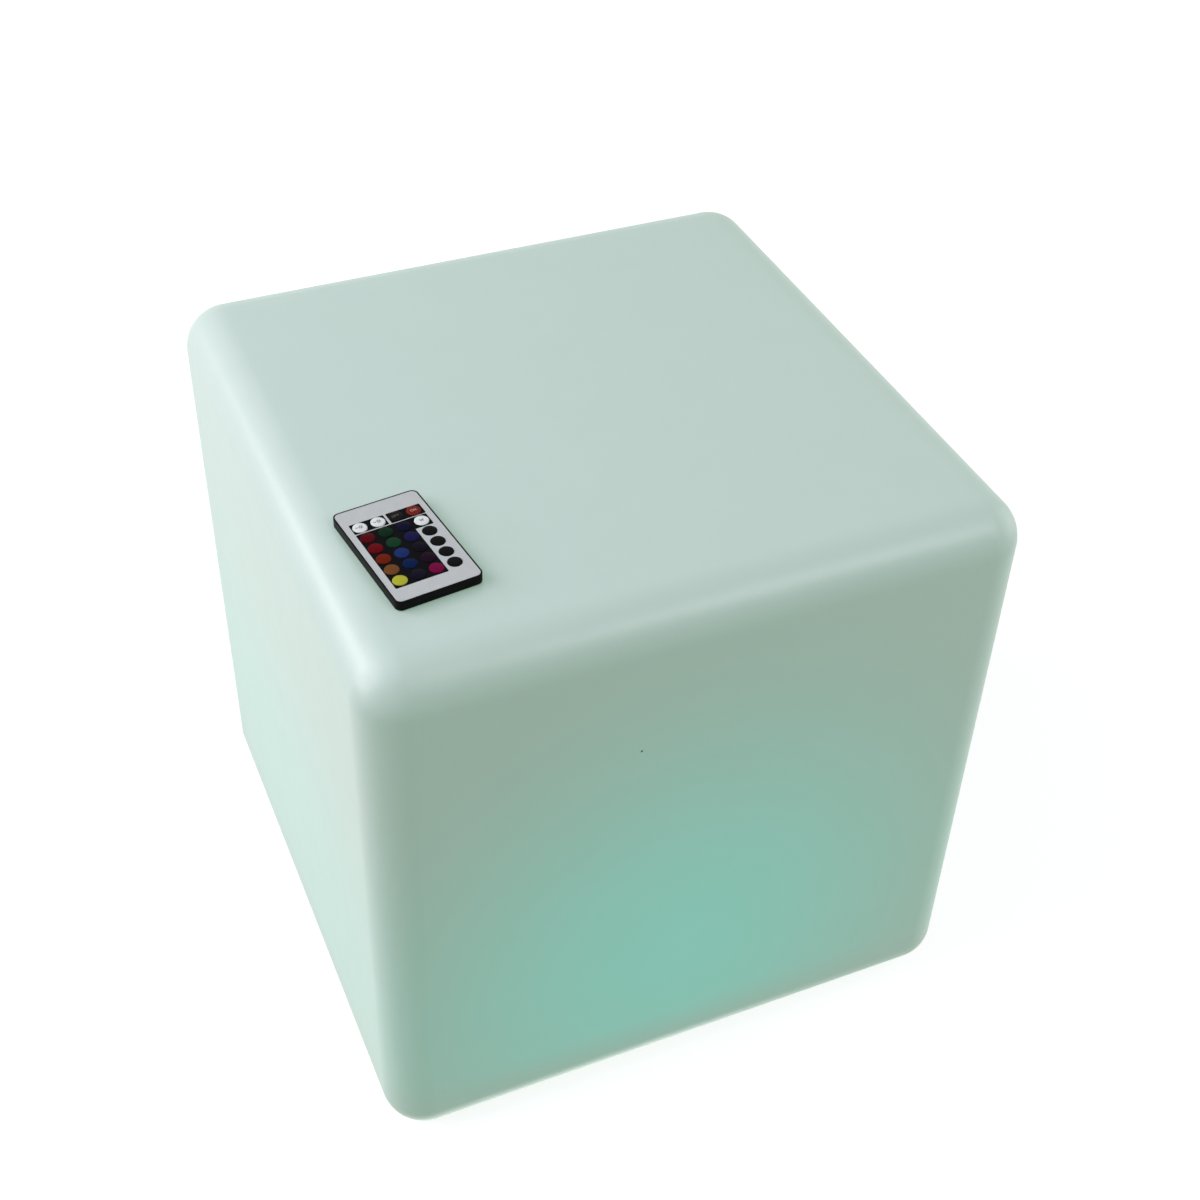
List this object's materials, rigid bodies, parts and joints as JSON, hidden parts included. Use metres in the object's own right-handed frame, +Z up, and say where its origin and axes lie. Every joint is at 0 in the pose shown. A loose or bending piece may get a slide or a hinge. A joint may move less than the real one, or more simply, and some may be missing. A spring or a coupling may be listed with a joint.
{
  "type": "led cube light",
  "caption": "Hollow rounded cube light with a sealed rechargeable LED unit in its underside and a slim keyed remote control on its top.",
  "frame": {"origin": "centre of the cube's underside, on the surface it stands on", "axes": "+Z up; the front face looks along -Y and the left face along -X"},
  "size_m": [0.4, 0.4, 0.4069],
  "materials": {
    "shell_pe": "translucent polyethylene, fine moulded grain, lit mint from inside",
    "brass": "turned brass",
    "seal_rubber": "black silicone",
    "housing_abs": "white moulded plastic, satin",
    "screw_steel": "stainless steel",
    "diffuser": "milky polycarbonate",
    "led_board_white": "white-lacquered metal-core board",
    "led_package": "LED packages",
    "ir_black": "dark infra-red window",
    "board_green": "solder-masked circuit board",
    "component": "moulded components",
    "cell_wrap": null,
    "cradle_black": "black moulded plastic",
    "strap_steel": "sheet steel",
    "lead_red": "insulated wire",
    "lead_black": "insulated wire",
    "lead_white": "insulated wire",
    "socket_black": "black moulded socket",
    "cap_rubber": "soft black rubber",
    "switch_metal": "nickel-plated switch body",
    "button_green": "gloss push button",
    "nut_steel": "plated nut",
    "lens_clear": "clear light pipe",
    "case_black": "fine-grained black plastic",
    "face_print": "printed satin film, pale with black panels",
    "keypad_rubber": "grey silicone",
    "emitter_clear": "clear infra-red LED",
    "contact_spring": "nickel-plated spring",
    "coin_steel": "coin cell can",
    "key_brighter": "moulded key cap",
    "key_dimmer": "moulded key cap",
    "key_off": "moulded key cap",
    "key_on": "moulded key cap",
    "key_red": "moulded key cap",
    "key_green": "moulded key cap",
    "key_blue": "moulded key cap",
    "key_white": "moulded key cap",
    "key_scarlet": "moulded key cap",
    "key_leaf_green": "moulded key cap",
    "key_royal_blue": "moulded key cap",
    "key_flash": "moulded key cap",
    "key_orange": "moulded key cap",
    "key_sky_blue": "moulded key cap",
    "key_indigo": "moulded key cap",
    "key_strobe": "moulded key cap",
    "key_amber": "moulded key cap",
    "key_sea_blue": "moulded key cap",
    "key_purple": "moulded key cap",
    "key_fade": "moulded key cap",
    "key_yellow": "moulded key cap",
    "key_teal": "moulded key cap",
    "key_pink": "moulded key cap",
    "key_smooth": "moulded key cap"
  },
  "bodies": {
    "cube": {"cube_shell": "shell_pe", "shell_inserts": "brass", "seal_ring": "seal_rubber", "unit_base": "housing_abs", "unit_screws": "screw_steel", "light_dome": "diffuser", "dome_seal": "seal_rubber", "dome_screws": "screw_steel", "led_board": "led_board_white", "leds": "led_package", "ir_receiver": "ir_black", "control_board": "board_green", "board_parts": "component", "board_screws": "screw_steel", "battery_cells": "cell_wrap", "battery_cradle": "cradle_black", "battery_strap": "strap_steel", "battery_leads": "lead_red", "panel_leads": "lead_black", "led_leads": "lead_white", "charge_socket": "socket_black", "switch_body": "switch_metal", "panel_nuts": "nut_steel", "charge_lens": "lens_clear"},
    "power_button": {"power_button": "button_green"},
    "socket_cap": {"socket_cap": "cap_rubber"},
    "remote": {"remote_case": "case_black", "remote_cover": "case_black", "remote_face": "face_print", "remote_keypad": "keypad_rubber", "remote_board": "board_green", "remote_parts": "component", "remote_emitter": "emitter_clear", "remote_contacts": "contact_spring"},
    "cell_tray": {"remote_tray": "case_black", "coin_cell": "coin_steel"},
    "key_brighter": {"key_brighter": "key_brighter"},
    "key_dimmer": {"key_dimmer": "key_dimmer"},
    "key_off": {"key_off": "key_off"},
    "key_on": {"key_on": "key_on"},
    "key_red": {"key_red": "key_red"},
    "key_green": {"key_green": "key_green"},
    "key_blue": {"key_blue": "key_blue"},
    "key_white": {"key_white": "key_white"},
    "key_scarlet": {"key_scarlet": "key_scarlet"},
    "key_leaf_green": {"key_leaf_green": "key_leaf_green"},
    "key_royal_blue": {"key_royal_blue": "key_royal_blue"},
    "key_flash": {"key_flash": "key_flash"},
    "key_orange": {"key_orange": "key_orange"},
    "key_sky_blue": {"key_sky_blue": "key_sky_blue"},
    "key_indigo": {"key_indigo": "key_indigo"},
    "key_strobe": {"key_strobe": "key_strobe"},
    "key_amber": {"key_amber": "key_amber"},
    "key_sea_blue": {"key_sea_blue": "key_sea_blue"},
    "key_purple": {"key_purple": "key_purple"},
    "key_fade": {"key_fade": "key_fade"},
    "key_yellow": {"key_yellow": "key_yellow"},
    "key_teal": {"key_teal": "key_teal"},
    "key_pink": {"key_pink": "key_pink"},
    "key_smooth": {"key_smooth": "key_smooth"}
  },
  "joints": [
    {"name": "remote_lift", "type": "slide", "parent": "cube", "child": "remote", "axis": [0, 0, 1], "range_m": [0, 0.06]},
    {"name": "tray_slide", "type": "slide", "parent": "remote", "child": "cell_tray", "axis": [0.1236, -0.9923, 0], "range_m": [0, 0.028]},
    {"name": "power_press", "type": "slide", "parent": "cube", "child": "power_button", "axis": [0, 0, 1], "range_m": [0, 0.0015], "stiffness_N_per_m": 1500},
    {"name": "cap_hinge", "type": "hinge", "parent": "cube", "child": "socket_cap", "pos_m": [-0.029, -0.0357, 0.01935], "axis": [0, 1, 0], "range_deg": [0, 150]},
    {"name": "press_brighter", "type": "slide", "parent": "remote", "child": "key_brighter", "axis": [0, 0, -1], "range_m": [0, 0.00035], "stiffness_N_per_m": 2000},
    {"name": "press_dimmer", "type": "slide", "parent": "remote", "child": "key_dimmer", "axis": [0, 0, -1], "range_m": [0, 0.00035], "stiffness_N_per_m": 2000},
    {"name": "press_off", "type": "slide", "parent": "remote", "child": "key_off", "axis": [0, 0, -1], "range_m": [0, 0.00035], "stiffness_N_per_m": 2000},
    {"name": "press_on", "type": "slide", "parent": "remote", "child": "key_on", "axis": [0, 0, -1], "range_m": [0, 0.00035], "stiffness_N_per_m": 2000},
    {"name": "press_red", "type": "slide", "parent": "remote", "child": "key_red", "axis": [0, 0, -1], "range_m": [0, 0.00035], "stiffness_N_per_m": 2000},
    {"name": "press_green", "type": "slide", "parent": "remote", "child": "key_green", "axis": [0, 0, -1], "range_m": [0, 0.00035], "stiffness_N_per_m": 2000},
    {"name": "press_blue", "type": "slide", "parent": "remote", "child": "key_blue", "axis": [0, 0, -1], "range_m": [0, 0.00035], "stiffness_N_per_m": 2000},
    {"name": "press_white", "type": "slide", "parent": "remote", "child": "key_white", "axis": [0, 0, -1], "range_m": [0, 0.00035], "stiffness_N_per_m": 2000},
    {"name": "press_scarlet", "type": "slide", "parent": "remote", "child": "key_scarlet", "axis": [0, 0, -1], "range_m": [0, 0.00035], "stiffness_N_per_m": 2000},
    {"name": "press_leaf_green", "type": "slide", "parent": "remote", "child": "key_leaf_green", "axis": [0, 0, -1], "range_m": [0, 0.00035], "stiffness_N_per_m": 2000},
    {"name": "press_royal_blue", "type": "slide", "parent": "remote", "child": "key_royal_blue", "axis": [0, 0, -1], "range_m": [0, 0.00035], "stiffness_N_per_m": 2000},
    {"name": "press_flash", "type": "slide", "parent": "remote", "child": "key_flash", "axis": [0, 0, -1], "range_m": [0, 0.00035], "stiffness_N_per_m": 2000},
    {"name": "press_orange", "type": "slide", "parent": "remote", "child": "key_orange", "axis": [0, 0, -1], "range_m": [0, 0.00035], "stiffness_N_per_m": 2000},
    {"name": "press_sky_blue", "type": "slide", "parent": "remote", "child": "key_sky_blue", "axis": [0, 0, -1], "range_m": [0, 0.00035], "stiffness_N_per_m": 2000},
    {"name": "press_indigo", "type": "slide", "parent": "remote", "child": "key_indigo", "axis": [0, 0, -1], "range_m": [0, 0.00035], "stiffness_N_per_m": 2000},
    {"name": "press_strobe", "type": "slide", "parent": "remote", "child": "key_strobe", "axis": [0, 0, -1], "range_m": [0, 0.00035], "stiffness_N_per_m": 2000},
    {"name": "press_amber", "type": "slide", "parent": "remote", "child": "key_amber", "axis": [0, 0, -1], "range_m": [0, 0.00035], "stiffness_N_per_m": 2000},
    {"name": "press_sea_blue", "type": "slide", "parent": "remote", "child": "key_sea_blue", "axis": [0, 0, -1], "range_m": [0, 0.00035], "stiffness_N_per_m": 2000},
    {"name": "press_purple", "type": "slide", "parent": "remote", "child": "key_purple", "axis": [0, 0, -1], "range_m": [0, 0.00035], "stiffness_N_per_m": 2000},
    {"name": "press_fade", "type": "slide", "parent": "remote", "child": "key_fade", "axis": [0, 0, -1], "range_m": [0, 0.00035], "stiffness_N_per_m": 2000},
    {"name": "press_yellow", "type": "slide", "parent": "remote", "child": "key_yellow", "axis": [0, 0, -1], "range_m": [0, 0.00035], "stiffness_N_per_m": 2000},
    {"name": "press_teal", "type": "slide", "parent": "remote", "child": "key_teal", "axis": [0, 0, -1], "range_m": [0, 0.00035], "stiffness_N_per_m": 2000},
    {"name": "press_pink", "type": "slide", "parent": "remote", "child": "key_pink", "axis": [0, 0, -1], "range_m": [0, 0.00035], "stiffness_N_per_m": 2000},
    {"name": "press_smooth", "type": "slide", "parent": "remote", "child": "key_smooth", "axis": [0, 0, -1], "range_m": [0, 0.00035], "stiffness_N_per_m": 2000}
  ]
}
